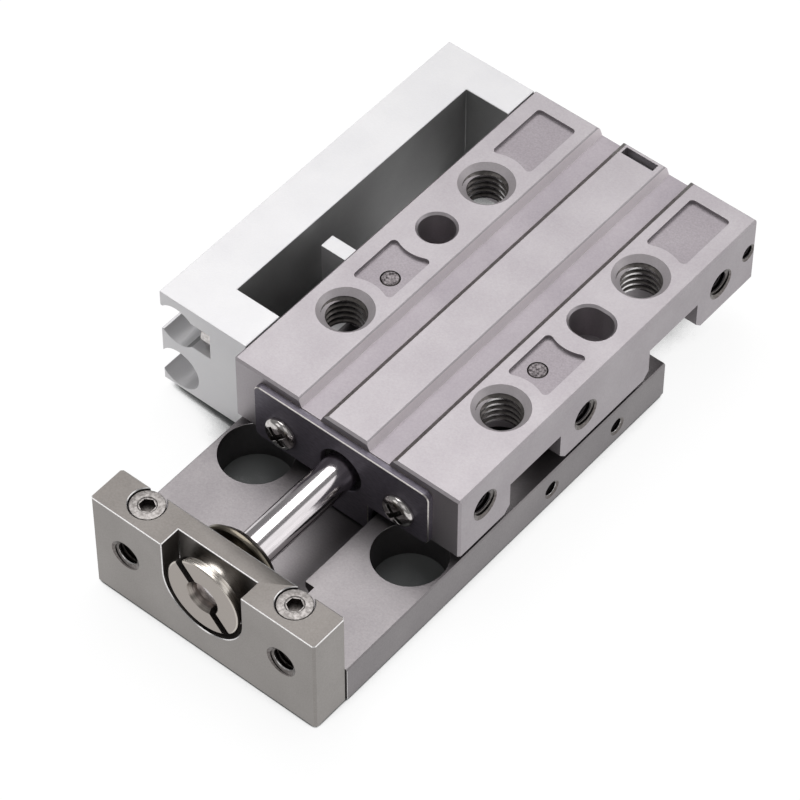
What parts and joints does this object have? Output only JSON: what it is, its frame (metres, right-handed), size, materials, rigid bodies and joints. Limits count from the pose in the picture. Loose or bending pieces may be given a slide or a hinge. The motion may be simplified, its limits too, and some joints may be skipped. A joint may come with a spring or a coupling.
{
  "type": "slide table cylinder",
  "caption": "Compact air cylinder whose rod pulls a ball-guided table through an end plate, with a slotted sensor rail along one side.",
  "frame": {"origin": "centre of the table's underside, the working face, with the rod out", "axes": "+X to the side with the air ports, +Y the way the table moves as the rod goes in, +Z from the table up through the cylinder body"},
  "size_m": [0.0405, 0.0696, 0.0145],
  "materials": {
    "body_aluminium": "bead-blasted, clear anodised",
    "table_aluminium": "bead-blasted, clear anodised",
    "plate_aluminium": "bead-blasted, clear anodised",
    "rail_aluminium": "extruded, pale satin anodised",
    "blackened_steel": "rolled, dark finish with a bright sheared edge",
    "bright_screw_steel": "nickel plated",
    "socket_screw_steel": "plain steel, scuffed",
    "hardened_steel": "ground",
    "turned_steel": "turned",
    "chromed_rod": "hard chromed and polished",
    "brass_bush": "turned",
    "black_rubber": "moulded",
    "bearing_plastic": "moulded",
    "cage_steel": "rolled strip",
    "bearing_steel": "polished"
  },
  "bodies": {
    "cylinder": {"body": "body_aluminium", "retainer_plate": "blackened_steel", "retainer_screws": "bright_screw_steel", "guide_rail": "hardened_steel", "guide_rail_pins": "hardened_steel", "rod_cover": "brass_bush", "rod_seal": "black_rubber", "rod_cover_ring": "black_rubber", "front_bumper": "black_rubber", "head_plug": "table_aluminium", "head_plug_ring": "black_rubber", "rear_bumper": "black_rubber", "plug_clip": "hardened_steel", "passage_plugs": "body_aluminium", "sensor_rail": "rail_aluminium", "sensor_rail_screws": "bright_screw_steel"},
    "table": {"table": "table_aluminium", "end_plate": "plate_aluminium", "end_plate_screws": "socket_screw_steel", "piston_rod": "chromed_rod", "rod_flange": "turned_steel", "rod_end_nut": "turned_steel", "piston": "table_aluminium", "piston_seal": "black_rubber", "piston_wear_ring": "bearing_plastic", "piston_nut": "hardened_steel", "magnet_carrier": "rail_aluminium", "magnet_carrier_screws": "bright_screw_steel", "sensor_magnet": "hardened_steel"},
    "left_cage": {"left_ball_cage": "cage_steel", "left_balls": "bearing_steel"},
    "right_cage": {"right_ball_cage": "cage_steel", "right_balls": "bearing_steel"}
  },
  "joints": [
    {"name": "table_slide", "type": "slide", "parent": "cylinder", "child": "table", "axis": [0, 1, 0], "range_m": [0, 0.014]},
    {"name": "left_cage_slide", "type": "slide", "parent": "cylinder", "child": "left_cage", "axis": [0, 1, 0], "range_m": [0, 0.007]},
    {"name": "right_cage_slide", "type": "slide", "parent": "cylinder", "child": "right_cage", "axis": [0, 1, 0], "range_m": [0, 0.007]}
  ],
  "couplings": [
    {"joint": "left_cage_slide", "follows": "table_slide", "ratio": 0.5},
    {"joint": "right_cage_slide", "follows": "table_slide", "ratio": 0.5}
  ]
}
